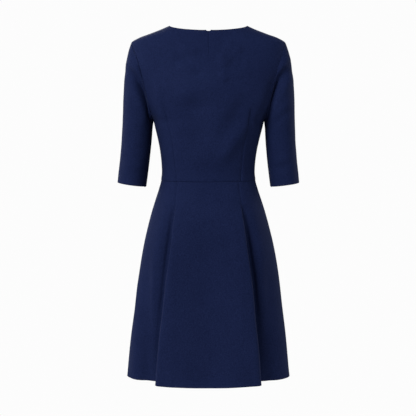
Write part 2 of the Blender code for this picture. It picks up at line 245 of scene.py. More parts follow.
def turnEdges(grid, normals, edges, radius):
    # turns the named edges in, by their widths: the sides first, then top and bottom over them
    frames = {edge: edgeFrame(grid, normals, edge) for edge in edges}
    padded = {"left": 0, "right": 0}
    for edge in ("left", "right", "bottom", "top"):
        if edge not in edges:
            continue
        turn, back = turns[edge]
        normal, inward = frames[edge]
        if edge in ("top", "bottom"):
            pads = ((padded["left"], padded["right"]), (0, 0))
            normal, inward = np.pad(normal, pads, mode="edge"), np.pad(inward, pads, mode="edge")
        lines = turn(grid).copy()
        profile = foldProfile(radius, edges[edge])
        edgeLine = lines[-1].copy()
        lines[-1] = edgeLine + inward * radius
        rows = [edgeLine + inward * s - normal * d for s, d in profile]
        grid = back(np.concatenate([lines, np.array(rows)]))
        if edge in padded:
            padded[edge] = len(profile)
    return grid


startFade = 0.3  # the share of a crease's length over which it begins


def creaseField(x, z, creases):
    # soft troughs (rise < 0) and ridges (rise > 0), each along a bent line from one end to the other
    total = np.zeros_like(x)
    t = np.linspace(0, 1, 16)
    for i in range(len(creases["fromX"])):
        crease = {name: creases[name][i] for name in creases}
        weights = np.stack([(1 - t) ** 2, 2 * t * (1 - t), t * t])
        lineX = weights.T @ np.array([crease["fromX"], crease["viaX"], crease["toX"]])
        lineZ = weights.T @ np.array([crease["fromZ"], crease["viaZ"], crease["toZ"]])
        best = np.full(x.shape, 9.0)
        signed = np.zeros_like(x)
        place = np.zeros_like(x)
        for k in range(len(t) - 1):
            dx, dz = lineX[k + 1] - lineX[k], lineZ[k + 1] - lineZ[k]
            length = math.hypot(dx, dz)
            s = np.clip(((x - lineX[k]) * dx + (z - lineZ[k]) * dz) / length**2, 0, 1)
            offX, offZ = x - lineX[k] - s * dx, z - lineZ[k] - s * dz
            distance = np.hypot(offX, offZ)
            nearer = distance < best
            best = np.where(nearer, distance, best)
            signed = np.where(nearer, np.sign(offX * dz - offZ * dx) * distance, signed)
            place = np.where(nearer, (k + s) / (len(t) - 1), place)
        taper = smooth(place / startFade) * smooth((1 - place) / crease["fade"])
        across = signed / (crease["wide"] * mm)
        shape = np.exp(-(across**2)) + crease["lean"] * across * np.exp(-(across**2))
        total += crease["rise"] * mm * shape * taper
    return total


def edgeFade(grid, edges, reach):
    # 0 on the named edges, 1 from reach inwards
    fade = np.ones(grid.shape[:2])
    for edge in edges:
        turn, back = turns[edge]
        lines = turn(grid)[::-1]
        steps = np.linalg.norm(np.diff(lines, axis=0), axis=-1)
        walked = np.concatenate([np.zeros((1, lines.shape[1])), np.cumsum(steps, axis=0)])
        share = back(smooth(walked / reach)[::-1][..., None])[..., 0]
        fade = fade * share
    return fade


def unevenness(grid, size, seed):
    # gentle irregular waves, from -1 to 1
    points = grid.reshape(-1, 3) / size
    values = [noise.noise(Vector((p[0] + seed, p[1] - seed, p[2] + 0.37 * seed))) for p in points]
    return np.array(values).reshape(grid.shape[:2])


# the slow waves in how the dress hangs: mm along axis 0, 1 or 2, and radians per metre of each
hangWaves = (
    (0, 0.6, (0, 0, 14), 1.0),
    (0, 0.4, (9, 0, 31), 0.0),
    (1, 0.9, (12, 0, 17), 0.0),
    (1, 0.5, (26, 0, -9), 0.0),
    (2, 0.5, (11, 0, 0), 2.0),
    (2, 0.4, (7, 23, 0), 0.0),
)


def settle(grid):
    # the whole dress hangs a little unevenly; every piece takes the same shift, so seams stay shut
    moved = grid.copy()
    for axis, amount, perMetre, start in hangWaves:
        moved[..., axis] += amount * mm * np.sin(grid @ np.array(perMetre, float) + start)
    return moved


def stitchLines(stitch):
    # close rows round a hem's stitching, so that its dint is crisp
    return tuple(stitch + off for off in (-1.4, -0.7, 0.0, 0.7, 1.4))


def stitchDint(distance, deep):
    # the shallow line that the hem's stitching presses into the cloth
    return deep * mm * np.exp(-((distance / (0.8 * mm)) ** 2))


cloth = {
    "colour": (0.0049, 0.0094, 0.0392),
    "light": (0.0101, 0.0171, 0.0618),
    "rough": 0.85,
    "specular": 0.06,
    "sheen": 0.05,
    "sheenRough": 0.30,
    "sheenTint": (0.55, 0.65, 1.0),
    "ribsPerMetre": 900.0,
    "ribWander": 3.0,
    # scale per metre, detail and roughness of each pattern, and its share in the colour
    "flecks": (700, 3, 0.7, 0.35),
    "mottle": (360, 3, 0.5, 0.50),
    "broad": (9, 2, 0.5, 0.15),
    "grain": (1100, 4, 0.5, 0.0),
    "ramp": (0.40, 0.62),
    # strength and depth of each relief
    "ribRelief": (0.20, 0.00012),
    "grainRelief": (0.45, 0.00025),
    "mottleRelief": (0.25, 0.0006),
}


def makeCloth(name):
    material = bpy.data.materials.new(name)
    material.use_nodes = True
    nodes, links = material.node_tree.nodes, material.node_tree.links
    shader = nodes["Principled BSDF"]
    shader.inputs["Roughness"].default_value = cloth["rough"]
    shader.inputs["Specular IOR Level"].default_value = cloth["specular"]
    shader.inputs["Sheen Weight"].default_value = cloth["sheen"]
    shader.inputs["Sheen Roughness"].default_value = cloth["sheenRough"]
    shader.inputs["Sheen Tint"].default_value = (*cloth["sheenTint"], 1)
    place = nodes.new("ShaderNodeTexCoord")

    def pattern(kind):
        texture = nodes.new("ShaderNodeTexNoise")
        texture.inputs["Scale"].default_value = cloth[kind][0]
        texture.inputs["Detail"].default_value = cloth[kind][1]
        texture.inputs["Roughness"].default_value = cloth[kind][2]
        links.new(place.outputs["Object"], texture.inputs["Vector"])
        return texture.outputs["Fac"]

    def relief(kind, height, under=None):
        bump = nodes.new("ShaderNodeBump")
        bump.inputs["Strength"].default_value = cloth[kind][0]
        bump.inputs["Distance"].default_value = cloth[kind][1]
        links.new(height, bump.inputs["Height"])
        if under is not None:
            links.new(under, bump.inputs["Normal"])
        return bump.outputs["Normal"]

    # the colour adds up the broad unevenness of the dye, a soft mottle and yarn flecks
    mottle = pattern("mottle")
    total = None
    for kind, source in (("broad", pattern("broad")), ("mottle", mottle), ("flecks", pattern("flecks"))):
        added = nodes.new("ShaderNodeMath")
        added.operation = "MULTIPLY_ADD"
        added.inputs[1].default_value = cloth[kind][3]
        added.inputs[2].default_value = 0.0
        links.new(source, added.inputs[0])
        if total is not None:
            links.new(total, added.inputs[2])
        total = added.outputs[0]
    ramp = nodes.new("ShaderNodeValToRGB")
    for stop, position, colour in zip(ramp.color_ramp.elements, cloth["ramp"], ("colour", "light")):
        stop.position = position
        stop.color = (*cloth[colour], 1)
    links.new(total, ramp.inputs["Fac"])
    links.new(ramp.outputs["Color"], shader.inputs["Base Color"])

    # fine ribs of the knit, broken up by the crepe grain
    flat = nodes.new("ShaderNodeUVMap")
    flat.uv_map = "cut"
    ribs = nodes.new("ShaderNodeTexWave")
    ribs.wave_type = "BANDS"
    ribs.bands_direction = "X"
    ribs.inputs["Scale"].default_value = cloth["ribsPerMetre"] / 20 * 2 * math.pi
    ribs.inputs["Distortion"].default_value = cloth["ribWander"]
    ribs.inputs["Detail"].default_value = 2.0
    ribs.inputs["Detail Scale"].default_value = 1.4
    links.new(flat.outputs["UV"], ribs.inputs["Vector"])
    ribbed = relief("ribRelief", ribs.outputs["Fac"])
    grainy = relief("grainRelief", pattern("grain"), ribbed)
    links.new(relief("mottleRelief", mottle, grainy), shader.inputs["Normal"])
    return material


navyCloth = makeCloth("navyCloth")


def isOutward(grid):
    # whether the grid's own winding faces out of the dress
    middle = grid.mean(axis=(0, 1))
    normals = gridNormals(grid)
    return ((grid - middle)[..., :2] * normals[..., :2]).sum() > 0


def clothPiece(name, node, grid):
    # a shell of cloth on the grid, with its flat cut as the UV map
    rows, columns = grid.shape[:2]
    index = np.arange(rows * columns).reshape(rows, columns)
    quads = np.stack([index[:-1, :-1], index[:-1, 1:], index[1:, 1:], index[1:, :-1]], axis=-1)
    quads = quads.reshape(-1, 4)
    if not isOutward(grid):
        quads = quads[:, ::-1]
    mesh = bpy.data.meshes.new(name)
    mesh.from_pydata(grid.reshape(-1, 3).tolist(), [], quads.tolist())
    across = np.zeros((rows, columns))
    across[:, 1:] = np.cumsum(np.linalg.norm(np.diff(grid, axis=1), axis=-1), axis=1)
    across -= across[:, columns // 2 : columns // 2 + 1]
    up = np.zeros((rows, columns))
    up[1:] = np.cumsum(np.linalg.norm(np.diff(grid, axis=0), axis=-1), axis=0)
    cut = mesh.uv_layers.new(name="cut")
    corners = np.empty(len(mesh.loops), np.int32)
    mesh.loops.foreach_get("vertex_index", corners)
    flat = np.stack([across.ravel(), up.ravel()], axis=-1)[corners]
    cut.data.foreach_set("uv", flat.astype(np.float32).ravel())
    mesh.shade_smooth()
    mesh.materials.append(navyCloth)
    piece = bpy.data.objects.new(name, mesh)
    scene.collection.objects.link(piece)
    wall = piece.modifiers.new("wall", "SOLIDIFY")
    wall.thickness = dress["cloth"]
    wall.offset = -1
    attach(piece, "root")
    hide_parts(node)
    print(name, "points", rows, "x", columns)
    return piece


bodice = {
    "neckShare": 0.5,  # of the top edge's half, from the centre line to the neck point
    "rows": 108,
    "toDart": 26,
    "toSide": 28,
    "centreFine": (0.4, 0.9, 1.6, 2.8, 4.3, 4.8, 5.2, 5.8, 7.0),
    "dartFine": (0.4, 0.9, 1.6, 2.8),
    "dartDepth": 1.1,
    "dartWide": 1.5,
    "dartStep": 0.35,
    "dartSwell": 0.28,
    "runOut": 0.030,  # a dart or the slit fades out over this length
    "slitEnd": -0.092,
    "slitDepth": 0.9,
    "slitWide": 1.1,
    "notch": 1.8,  # the dip of the neck edge over the zip, and half its width
    "notchHalf": 4.6,
    "cornerLift": 0.5,
    "waistSwell": 0.45,
    "uneven": 0.35,
    "turned": 10.0,
}

# each dart as a line in x and z, and the height of its top, where it runs out
darts = {
    ("back", 1): {
        "line": table(
            "z x",
            (-0.3920, 0.0790),
            (-0.3868, 0.0794),
            (-0.3114, 0.0885),
            (-0.2492, 0.1006),
            (-0.2059, 0.1096),
            (-0.0300, 0.1330),
        ),
        "end": -0.204,
    },
    ("back", -1): {
        "line": table(
            "z x",
            (-0.3920, 0.0815),
            (-0.3868, 0.0820),
            (-0.3239, 0.0861),
            (-0.2678, 0.0952),
            (-0.2120, 0.1062),
            (-0.0300, 0.1330),
        ),
        "end": -0.211,
    },
    ("front", 1): {
        "line": table("z x", (-0.392, 0.0770), (-0.340, 0.0775), (-0.285, 0.0780), (-0.030, 0.1100)),
        "end": -0.283,
    },
    ("front", -1): {
        "line": table("z x", (-0.392, 0.0775), (-0.340, 0.0780), (-0.285, 0.0775), (-0.030, 0.1100)),
        "end": -0.281,
    },
}

bodiceCreases = {
    "back": table(
        "fromX   fromZ    viaX     viaZ     toX      toZ     wide rise  lean fade",
        # the drag lines from the right side towards the centre
        (-0.1060, -0.1600, -0.0560, -0.2470, -0.0100, -0.3200, 21, -5.6, 0.0, 0.4),
        (-0.1160, -0.2200, -0.0640, -0.2875, -0.0050, -0.3750, 17, 5.0, 0.0, 0.4),
        # shallow dents and swells between the shoulder blades
        (0.0760, -0.0620, 0.0460, -0.0600, 0.0240, -0.0720, 11, 4.4, 0.0, 0.3),
        (0.0920, -0.0880, 0.0700, -0.0900, 0.0400, -0.0860, 10, -3.0, 0.0, 0.3),
        (-0.0360, -0.0480, -0.0600, -0.0560, -0.0850, -0.0760, 12, 4.0, 0.0, 0.3),
        (-0.0260, -0.0740, -0.0360, -0.0880, -0.0420, -0.1160, 9, 4.2, 0.0, 0.3),
        (-0.0280, -0.1160, -0.0380, -0.1290, -0.0460, -0.1450, 9, 4.2, 0.0, 0.3),
        (0.0240, -0.1120, 0.0200, -0.1220, 0.0320, -0.1340, 10, -2.0, 0.0, 0.4),
        (-0.0500, -0.0860, -0.0700, -0.0960, -0.0900, -0.1080, 12, -3.8, 0.0, 0.3),
        (0.0780, -0.1000, 0.0600, -0.1100, 0.0300, -0.1140, 10, 3.2, 0.0, 0.3),
        # a ridge from the left armhole down to the dart
        (0.1380, -0.1300, 0.1130, -0.2050, 0.1140, -0.2900, 10, 3.6, 0.0, 0.3),
        # the hollow of the lower back
        (0.0400, -0.1600, 0.0220, -0.2450, 0.0100, -0.3400, 44, -13.0, 0.0, 0.4),
        # the right dart's top, and the cloth beside the right armhole
        (-0.1100, -0.2000, -0.1030, -0.2400, -0.0980, -0.3000, 6, -3.0, 0.0, 0.4),
        (-0.1480, -0.1550, -0.1300, -0.2000, -0.1220, -0.2550, 11, 0.9, 0.0, 0.4),
    ),
    "front": table(
        "fromX   fromZ    viaX     viaZ     toX      toZ     wide rise  lean fade",
        (0.1320, -0.2150, 0.1000, -0.2650, 0.0500, -0.3150, 14, -1.3, 0.4, 0.5),
        (-0.1340, -0.2100, -0.1050, -0.2700, -0.0450, -0.3300, 15, -1.4, 0.4, 0.5),
        (-0.1180, -0.2000, -0.0900, -0.2500, -0.0400, -0.3000, 12, 1.0, 0.0, 0.5),
        (0.0600, -0.1100, 0.0350, -0.1450, 0.0300, -0.1900, 16, -0.9, 0.0, 0.4),
        (-0.0580, -0.1150, -0.0400, -0.1500, -0.0250, -0.1850, 15, 0.9, 0.0, 0.4),
        (0.1450, -0.1500, 0.1220, -0.1850, 0.1120, -0.2150, 11, 1.1, 0.0, 0.4),
        (-0.1450, -0.1450, -0.1200, -0.1800, -0.1150, -0.2200, 10, 1.0, 0.0, 0.4),
        (0.0300, -0.3300, 0.0000, -0.3450, -0.0350, -0.3350, 14, -0.7, 0.0, 0.4),
    ),
}


def neckZ(x, side):
    drop = dress["backNeckDrop"] if side == "back" else dress["frontNeckDrop"]
    share = np.clip(np.abs(x) / dress["neckHalfWidth"], 0, 1)
    return -drop * (1 - share**2) ** dress["neckRoundness"]


def bodiceTop(share, side):
    # neckline, then shoulder
    split = bodice["neckShare"]
    neckX = dress["neckHalfWidth"] * np.sin(math.pi / 2 * np.clip(share / split, 0, 1))
    shoulderZ = dress["shoulderTip"] * np.clip((share - split) / (1 - split), 0, 1)
    x = np.where(share < split, neckX, along(body, "halfWidth", shoulderZ))
    return x, np.where(share < split, neckZ(neckX, side), shoulderZ)


def bodiceSide(height, side):
    # side seam, then armhole
    z = dress["waist"] + (dress["shoulderTip"] - dress["waist"]) * height
    x = np.where(z > dress["underarm"], along(armhole, side, z), along(body, "halfWidth", z))
    return x, z


def bodiceHalf(side, sign):
    waist, tip = dress["waist"], dress["shoulderTip"]
    a = np.sin(math.pi / 2 * np.linspace(0, 1, 260))[None, :]
    h = 1 - (1 - np.linspace(0, 1, 320)[:, None]) ** 2
    topX, topZ = bodiceTop(a, side)
    sideX, sideZ = bodiceSide(h, side)
    waistX = a * along(body, "halfWidth", waist)
    centreZ = waist + (neckZ(0.0, side) - waist) * h
    # a patch between the four edges
    cornerX = a * (1 - h) * waistX[0, -1] + a * h * topX[0, -1]
    x = (1 - h) * waistX + h * topX + a * sideX - cornerX
    cornerZ = (1 - h) * waist + (1 - a) * h * centreZ[-1, 0] + a * h * tip
    z = (1 - h) * waist + h * topZ + (1 - a) * centreZ + a * sideZ - cornerZ
    dense = bodyPoint(x, z, side)
    tall = resample(dense, lambda length, j: evenMarks(length, bodice["rows"], (1.2, 2.4), (1.2, 2.4)))

    # the columns gather to the dart, so that its line is crisp
    dart = darts[side, sign]
    rows = tall.transpose(1, 0, 2)
    steps = np.linalg.norm(np.diff(rows, axis=0), axis=-1)
    walked = np.concatenate([np.zeros((1, rows.shape[1])), np.cumsum(steps, axis=0)])
    offLine = rows[..., 0] - along(dart["line"], "x", rows[..., 2])
    places = np.array([np.interp(0.0, offLine[:, j], walked[:, j]) for j in range(rows.shape[1])])

    def marks(length, j):
        inner = evenMarks(places[j], bodice["toDart"], bodice["centreFine"], bodice["dartFine"])
        outer = evenMarks(length - places[j], bodice["toSide"], bodice["dartFine"], (1.2, 2.4))
        return np.concatenate([inner, places[j] + outer[1:]])

    half = resample(rows, marks).transpose(1, 0, 2)
    dartColumn = len(bodice["centreFine"]) + len(bodice["dartFine"]) + bodice["toDart"]
    return half, dartColumn


def makeBodice(side):
    parts = {}
    for sign in (1, -1):
        half, dartColumn = bodiceHalf(side, sign)
        fromDart = (half[..., 0] - half[:, dartColumn : dartColumn + 1, 0]) / mm
        dartTop = darts[side, sign]["end"] + 0.012
        onDart = smooth((dartTop - half[..., 2]) / bodice["runOut"])
        groove = bodice["dartDepth"] * np.exp(-((fromDart / bodice["dartWide"]) ** 2))
        # the cloth swells a little on each side of the stitching
        groove -= bodice["dartSwell"] * np.exp(-(((np.abs(fromDart) - 6) / 4.5) ** 2))
        # the dart's fold is pressed to the side, under the outer half
        groove -= bodice["dartStep"] * np.tanh(fromDart / 2) * np.exp(-np.abs(fromDart) / 14)
        parts[sign] = (half * np.array([sign, 1, 1]), groove * mm * onDart)
    right, rightGroove = parts[1]
    left, leftGroove = parts[-1]
    grid = np.concatenate([left[:, ::-1], right[:, 1:]], axis=1)
    groove = np.concatenate([leftGroove[:, ::-1], rightGroove[:, 1:]], axis=1)
    x, z = grid[..., 0], grid[..., 2]
    if side == "back":
        fade = smooth((z - bodice["slitEnd"]) / bodice["runOut"])
        slit = np.exp(-((x / (bodice["slitWide"] * mm)) ** 2))
        groove = groove + bodice["slitDepth"] * mm * slit * fade
        # the neck edge dips over the zip, between two small raised corners
        near = smooth((z + dress["backNeckDrop"] + 0.012) / 0.012)
        off = np.abs(x) / mm - bodice["notchHalf"]
        dip = bodice["notch"] * (1 - smooth(off / 0.9))
        lift = bodice["cornerLift"] * np.exp(-(((off - 1.6) / 1.3) ** 2))
        grid[..., 2] += (lift - dip) * mm * near
    centre = np.array([0, 0, -0.2])
    normals = facingOut(grid, centre)
    inner = edgeFade(grid, ("left", "right", "bottom"), 0.020)
    rise = creaseField(x, z, bodiceCreases[side]) * inner
    rise += bodice["uneven"] * mm * unevenness(grid, 0.035, 3.1 if side == "back" else 7.7) * inner
    # the seam allowance inside lifts the cloth above the waist seam
    above = (z - dress["waist"]) / mm
    rise += bodice["waistSwell"] * mm * np.exp(-(((above - 6) / 5) ** 2))
    grid = grid + normals * (rise - groove)[..., None]
    grid = settle(sinkArmhole(grid))
    normals = facingOut(grid, centre)
    turned = {"left": 0, "right": 0, "bottom": bodice["turned"] * mm, "top": bodice["turned"] * mm}
    return turnEdges(grid, normals, turned, dress["fold"])


for side, name in (("back", "backBodice"), ("front", "frontBodice")):
    piece = clothPiece(name, "bodice_" + side, makeBodice(side))

sleeve = table(
    "z       centreX centreY halfWidth halfDepth tilt",
    (-0.2620, 0.1826, -0.0040, 0.0386, 0.0500, 4.0),
    (-0.2888, 0.1845, -0.0055, 0.0384, 0.0490, 4.5),
    (-0.3195, 0.1872, -0.0075, 0.0381, 0.0480, 5.0),
    (-0.3503, 0.1903, -0.0100, 0.0380, 0.0470, 6.0),
    (-0.3811, 0.1939, -0.0130, 0.0379, 0.0463, 7.0),
    (-0.4035, 0.1966, -0.0150, 0.0376, 0.0460, 8.0),
)

capLeave = table(
    "share   out    back   down",
    (0.0, 0.34, 0.00, 0.80),
    (0.25, 0.42, 0.14, 0.80),
    (0.5, 0.48, 0.05, 0.85),
    (0.75, 0.42, -0.04, 0.90),
    (1.0, 0.16, 0.00, 0.98),
)
capArrive = (0.07, -0.03, -1.0)

sleeveShape = {"rows": 100, "columns": 76, "cuffHem": 18.0, "stitch": 17.0, "uneven": 0.4}

sleeveCreases = {
    1: table(
        "fromX   fromZ    viaX     viaZ     toX      toZ     wide rise  lean fade",
        # the fold from the outside of the cap down to the underarm
        (0.2080, -0.1030, 0.1580, -0.1420, 0.1400, -0.2480, 8, -8.0, 0.0, 0.1),
        (0.2210, -0.1040, 0.1640, -0.1400, 0.1420, -0.2480, 9, -5.0, 0.0, 0.2),
        (0.2100, -0.0860, 0.1840, -0.0980, 0.1620, -0.1500, 10, 2.4, 0.0, 0.3),
        (0.2000, -0.1500, 0.1800, -0.1700, 0.1640, -0.2300, 13, 1.6, 0.0, 0.4),
        (0.2180, -0.2100, 0.1900, -0.2360, 0.1600, -0.2500, 12, -1.4, 0.0, 0.4),
        (0.1560, -0.2980, 0.1760, -0.3150, 0.2050, -0.3120, 10, -1.1, 0.0, 0.4),
        (0.1600, -0.3480, 0.1850, -0.3620, 0.2150, -0.3500, 11, 1.0, 0.0, 0.4),
    ),
    -1: table(
        "fromX   fromZ    viaX     viaZ     toX      toZ     wide rise  lean fade",
        (-0.2060, -0.1000, -0.1560, -0.1380, -0.1390, -0.2480, 8, -8.0, 0.0, 0.1),
        (-0.2210, -0.1020, -0.1620, -0.1380, -0.1420, -0.2480, 10, -5.5, 0.0, 0.2),
        (-0.2120, -0.0760, -0.1840, -0.0960, -0.1640, -0.1480, 10, 2.6, 0.0, 0.3),
        (-0.2180, -0.1250, -0.1960, -0.1420, -0.1720, -0.1900, 10, 1.6, 0.0, 0.4),
        (-0.2150, -0.1870, -0.1900, -0.2050, -0.1600, -0.2350, 9, 1.2, 0.0, 0.4),
        (-0.2140, -0.2050, -0.1900, -0.2250, -0.1620, -0.2500, 8, -1.4, 0.0, 0.4),
        (-0.1600, -0.3480, -0.1850, -0.3380, -0.2150, -0.3300, 8, 1.3, 0.0, 0.4),
        (-0.1620, -0.3640, -0.1900, -0.3560, -0.2150, -0.3470, 8, -1.1, 0.0, 0.4),
    ),
}


def sleeveRing(turn, z):
    width = along(sleeve, "halfWidth", z) * np.cos(turn)
    tilt = np.radians(along(sleeve, "tilt", z))
    return np.stack([
        along(sleeve, "centreX", z) + width * np.cos(tilt),
        along(sleeve, "centreY", z) + along(sleeve, "halfDepth", z) * np.sin(turn),
        z + width * np.sin(tilt),
    ], axis=-1)


def armholePoint(share, side):
    # share 0 is the shoulder tip, 1 the underarm
    down = (1 - np.cos(math.pi * share)) / 2
    z = dress["shoulderTip"] + (dress["underarm"] - dress["shoulderTip"]) * down
    return bodyPoint(along(armhole, side, z), z, side)


def makeSleeve(sign):
    # round the sleeve, u runs from the underarm up the front to the shoulder tip, then down the back
    u = np.linspace(-1, 1, 181)
    share = np.abs(u)
    turn = math.pi * u
    start = np.where((u > 0)[:, None], armholePoint(share, "back"), armholePoint(share, "front"))
    end = sleeveRing(turn, np.full_like(u, sleeve["z"][0]))
    reach = np.linalg.norm(end - start, axis=-1, keepdims=True)
    out, down = along(capLeave, "out", share), along(capLeave, "down", share)
    back = np.sign(u) * along(capLeave, "back", share)
    leave = np.stack([out, back, -down], axis=-1) * reach
    arrive = np.array(capArrive) * reach
    rows = []
    for t in np.linspace(0, 1, 80)[:-1]:
        rows.append(
            start * (2 * t**3 - 3 * t**2 + 1) + end * (3 * t**2 - 2 * t**3)
            + leave * (t**3 - 2 * t**2 + t) + arrive * (t**3 - t**2))
    for z in np.linspace(sleeve["z"][0], sleeve["z"][-1], 60):
        rows.append(sleeveRing(turn, np.full_like(u, z)))
    dense = np.array(rows)
    stitch = sleeveShape["stitch"]
    edge = (1.2, 2.4)
    fine = (*edge, *stitchLines(stitch))
    tall = resample(dense, lambda length, j: evenMarks(length, sleeveShape["rows"], edge, fine))
    rings = tall.transpose(1, 0, 2)
    wide = resample(rings, lambda length, j: evenMarks(length, sleeveShape["columns"], edge, edge))
    grid = wide.transpose(1, 0, 2)[::-1] * np.array([sign, 1, 1])  # from the cuff up
    centre = np.array([sign * 0.188, -0.008, -0.3])
    normals = facingOut(grid, centre)
    x, z = grid[..., 0], grid[..., 2]
    inner = edgeFade(grid, ("top",), 0.010) * edgeFade(grid, ("left", "right"), 0.015)
    onBack = smooth(0.5 + 1.2 * normals[..., 1])
    rise = creaseField(x, z, sleeveCreases[sign]) * onBack
    # the hidden front has the other sleeve's creases, a little lower and softer
    mirrored = creaseField(-x * 1.01, z + 0.006, sleeveCreases[-sign])
    rise += 0.85 * mirrored * (1 - onBack)
    rise += sleeveShape["uneven"] * mm * unevenness(grid, 0.030, 5.3 * sign)
    fromCuff = np.cumsum(np.linalg.norm(np.diff(grid, axis=0, prepend=grid[:1]), axis=-1), axis=0)
    rise = rise * inner - stitchDint(fromCuff - stitch * mm, 0.12)
    grid = settle(sinkArmhole(grid + normals * rise[..., None]))
    normals = facingOut(grid, centre)
    turned = {"left": 8 * mm, "right": 8 * mm, "top": 0, "bottom": sleeveShape["cuffHem"] * mm}
    return turnEdges(grid, normals, turned, dress["fold"])


for sign, name, node in ((1, "leftSleeve", "sleeve_left"), (-1, "rightSleeve", "sleeve_right")):
    piece = clothPiece(name, node, makeSleeve(sign))

pleatLine = table(
    "z       edgeX",
    (-0.3920, 0.0760),
    (-0.4490, 0.0836),
    (-0.5103, 0.0935),
    (-0.5772, 0.1020),
    (-0.6594, 0.1120),
    (-0.7466, 0.1190),
    (-0.8264, 0.1255),
    (-0.9020, 0.1315),
)

# across one pleat, in mm from its fold line: shut at the waist, open at the hem,
# and deeper still half way down
pleatFold = {
    "outWaist": (-30, -12, -6, -4, -2.6, -1.2, 0, 1.2, 2.6, 5, 10, 18, 32),
    "riseWaist": (0, 0, 0, -0.2, -0.6, -1.0, -1.2, -1.0, -0.6, -0.2, 0, 0, 0),
    "outHem": (-32, -14, -5, 0, -1.5, -10, -18, -20, -16, -4, 14, 34, 56),
    "riseHem": (12.5, 16, 14.5, 9, 3, -5, -14, -22, -28, -31, -28, -19, -10),
    "riseMid": (0, 1.5, 1.5, 0.5, -1.5, -4, -6, -6.5, -7, -6.5, -4, -1.5, 0),
}

skirt = {
    "rows": 150,
    "panelColumns": 3,
    "centreRise": 8.5,
    "pleatSpread": 0.62,
    "sideSettle": 1.3,
    "samples": (9, 9, 9, 7, 5, 4, 4, 4, 4, 4, 4, 4, 5, 6, 6, 8, 9, 9, 9),
    "hemTurn": 16.0,
    "hemHang": 3.6,
    "stitch": 15.0,
    "centreSoft": 0.10,
    "uneven": 0.3,
    "unevenLow": 0.5,
}

skirtCreases = {
    "back": table(
        "fromX   fromZ    viaX     viaZ     toX      toZ     wide rise  lean fade",
        # the centre panel hollows between its two pleats
        (0.0060, -0.4700, 0.0020, -0.6900, -0.0020, -0.9900, 72, -22.0, 0.0, 0.2),
        (0.0860, -0.5500, 0.0930, -0.7000, 0.1010, -0.9800, 17, 3.2, 0.0, 0.2),
        (-0.0620, -0.4700, -0.0800, -0.6000, -0.0960, -0.8600, 17, 2.6, 0.0, 0.4),
        # the fold down the left side panel
        (0.1460, -0.5500, 0.1560, -0.7000, 0.1620, -0.9900, 17, -7.0, 0.0, 0.2),
        (0.1400, -0.5600, 0.1520, -0.6600, 0.1400, -0.7900, 8, 2.6, 0.0, 0.4),
        (0.1780, -0.5800, 0.1880, -0.7000, 0.1900, -0.9900, 11, 3.2, 0.0, 0.2),
        # the shade right beside each pleat's fold
        (0.0835, -0.4300, 0.1145, -0.6100, 0.1320, -0.8300, 4, -2.2, 0.0, 0.4),
        (-0.0850, -0.4300, -0.1150, -0.6100, -0.1330, -0.8300, 4, -2.6, 0.0, 0.4),
        # the right side panel lies in, next to its pleat
        (-0.1480, -0.5600, -0.1580, -0.7000, -0.1640, -0.9900, 20, -6.0, 0.0, 0.2),
    ),
    "front": table(
        "fromX   fromZ    viaX     viaZ     toX      toZ     wide rise  lean fade",
        (-0.0100, -0.4700, -0.0120, -0.7000, -0.0020, -0.9900, 70, -14.0, 0.0, 0.2),
        (0.0850, -0.4400, 0.1140, -0.6200, 0.1310, -0.8300, 4, -2.4, 0.0, 0.4),
        (-0.0840, -0.4300, -0.1140, -0.6100, -0.1320, -0.8300, 4, -2.2, 0.0, 0.4),
        (-0.0860, -0.5600, -0.0950, -0.7100, -0.1000, -0.9800, 17, 3.0, 0.0, 0.2),
        (0.0600, -0.5000, 0.0780, -0.6400, 0.0940, -0.8800, 18, 2.4, 0.0, 0.4),
        (0.1600, -0.5400, 0.1660, -0.6600, 0.1520, -0.8300, 11, -3.4, 0.6, 0.4),
        (0.1790, -0.5800, 0.1850, -0.7100, 0.1800, -0.8600, 10, 2.0, 0.0, 0.4),
        (-0.1560, -0.5300, -0.1630, -0.6500, -0.1480, -0.7800, 10, -3.8, -0.6, 0.5),
        (-0.1770, -0.6000, -0.1830, -0.7100, -0.1800, -0.8600, 11, 2.2, 0.0, 0.4),
    ),
}


def splineWeights(controls, samples):
    # the share of each control point in each sample of a smooth curve through them all
    rows = []
    for i in range(controls - 1):
        count = samples[i]
        steps = np.arange(count) / count if i < controls - 2 else np.arange(count + 1) / count
        for t in steps:
            row = np.zeros(controls)
            before, after = max(i - 1, 0), min(i + 2, controls - 1)
            row[before] += -0.5 * t + t**2 - 0.5 * t**3
            row[i] += 1 - 2.5 * t**2 + 1.5 * t**3
            row[i + 1] += 0.5 * t + 2 * t**2 - 1.5 * t**3
            row[after] += -0.5 * t**2 + 0.5 * t**3
            rows.append(row)
    return np.array(rows)


